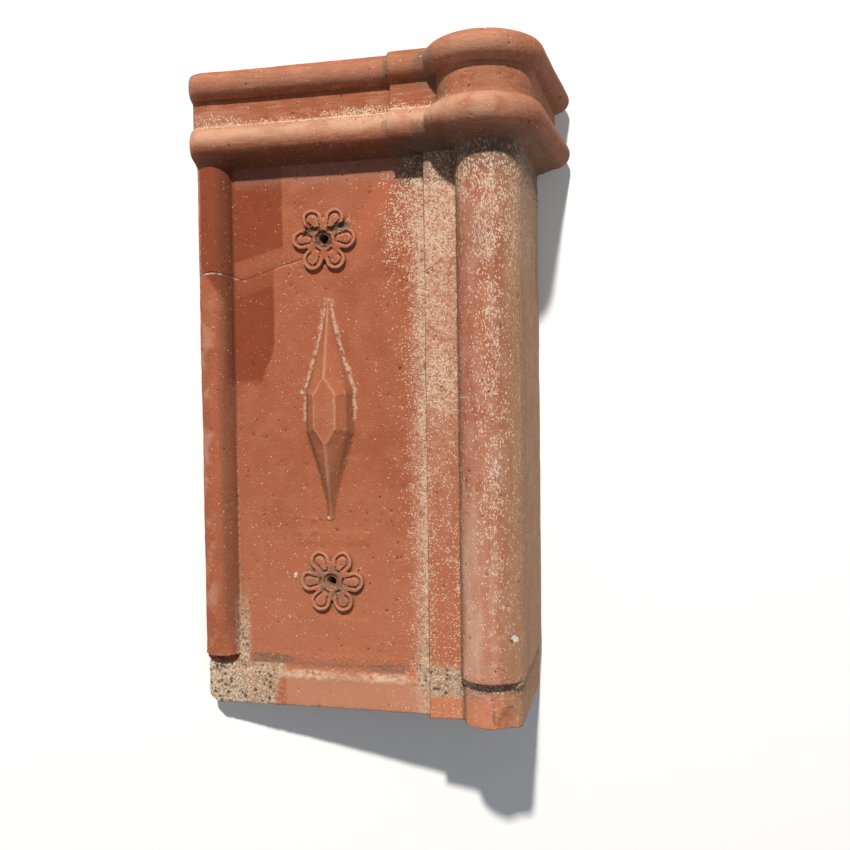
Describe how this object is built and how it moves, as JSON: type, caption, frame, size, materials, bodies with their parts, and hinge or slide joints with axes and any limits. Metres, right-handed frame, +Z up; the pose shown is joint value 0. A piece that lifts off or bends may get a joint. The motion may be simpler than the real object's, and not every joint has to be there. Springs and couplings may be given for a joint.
{
  "type": "verge roof tile",
  "caption": "Red clay verge tile with a flat panel, rosettes and lozenge in relief, a roll with a wing turned down over the verge, and a moulded collar at one end.",
  "frame": {"origin": "middle of the bounding box, at the level of the two long edges that the tile lies on", "axes": "+Y along the tile from the spigot to the collar, +X across it from the bead to the wing, +Z up, with the face 18.3 degrees from level"},
  "size_m": [0.2288, 0.37, 0.1088],
  "materials": {
    "fired_clay": "matt, weathered, with pale lichen"
  },
  "bodies": {
    "root": {"verge_tile": "fired_clay"}
  },
  "joints": []
}
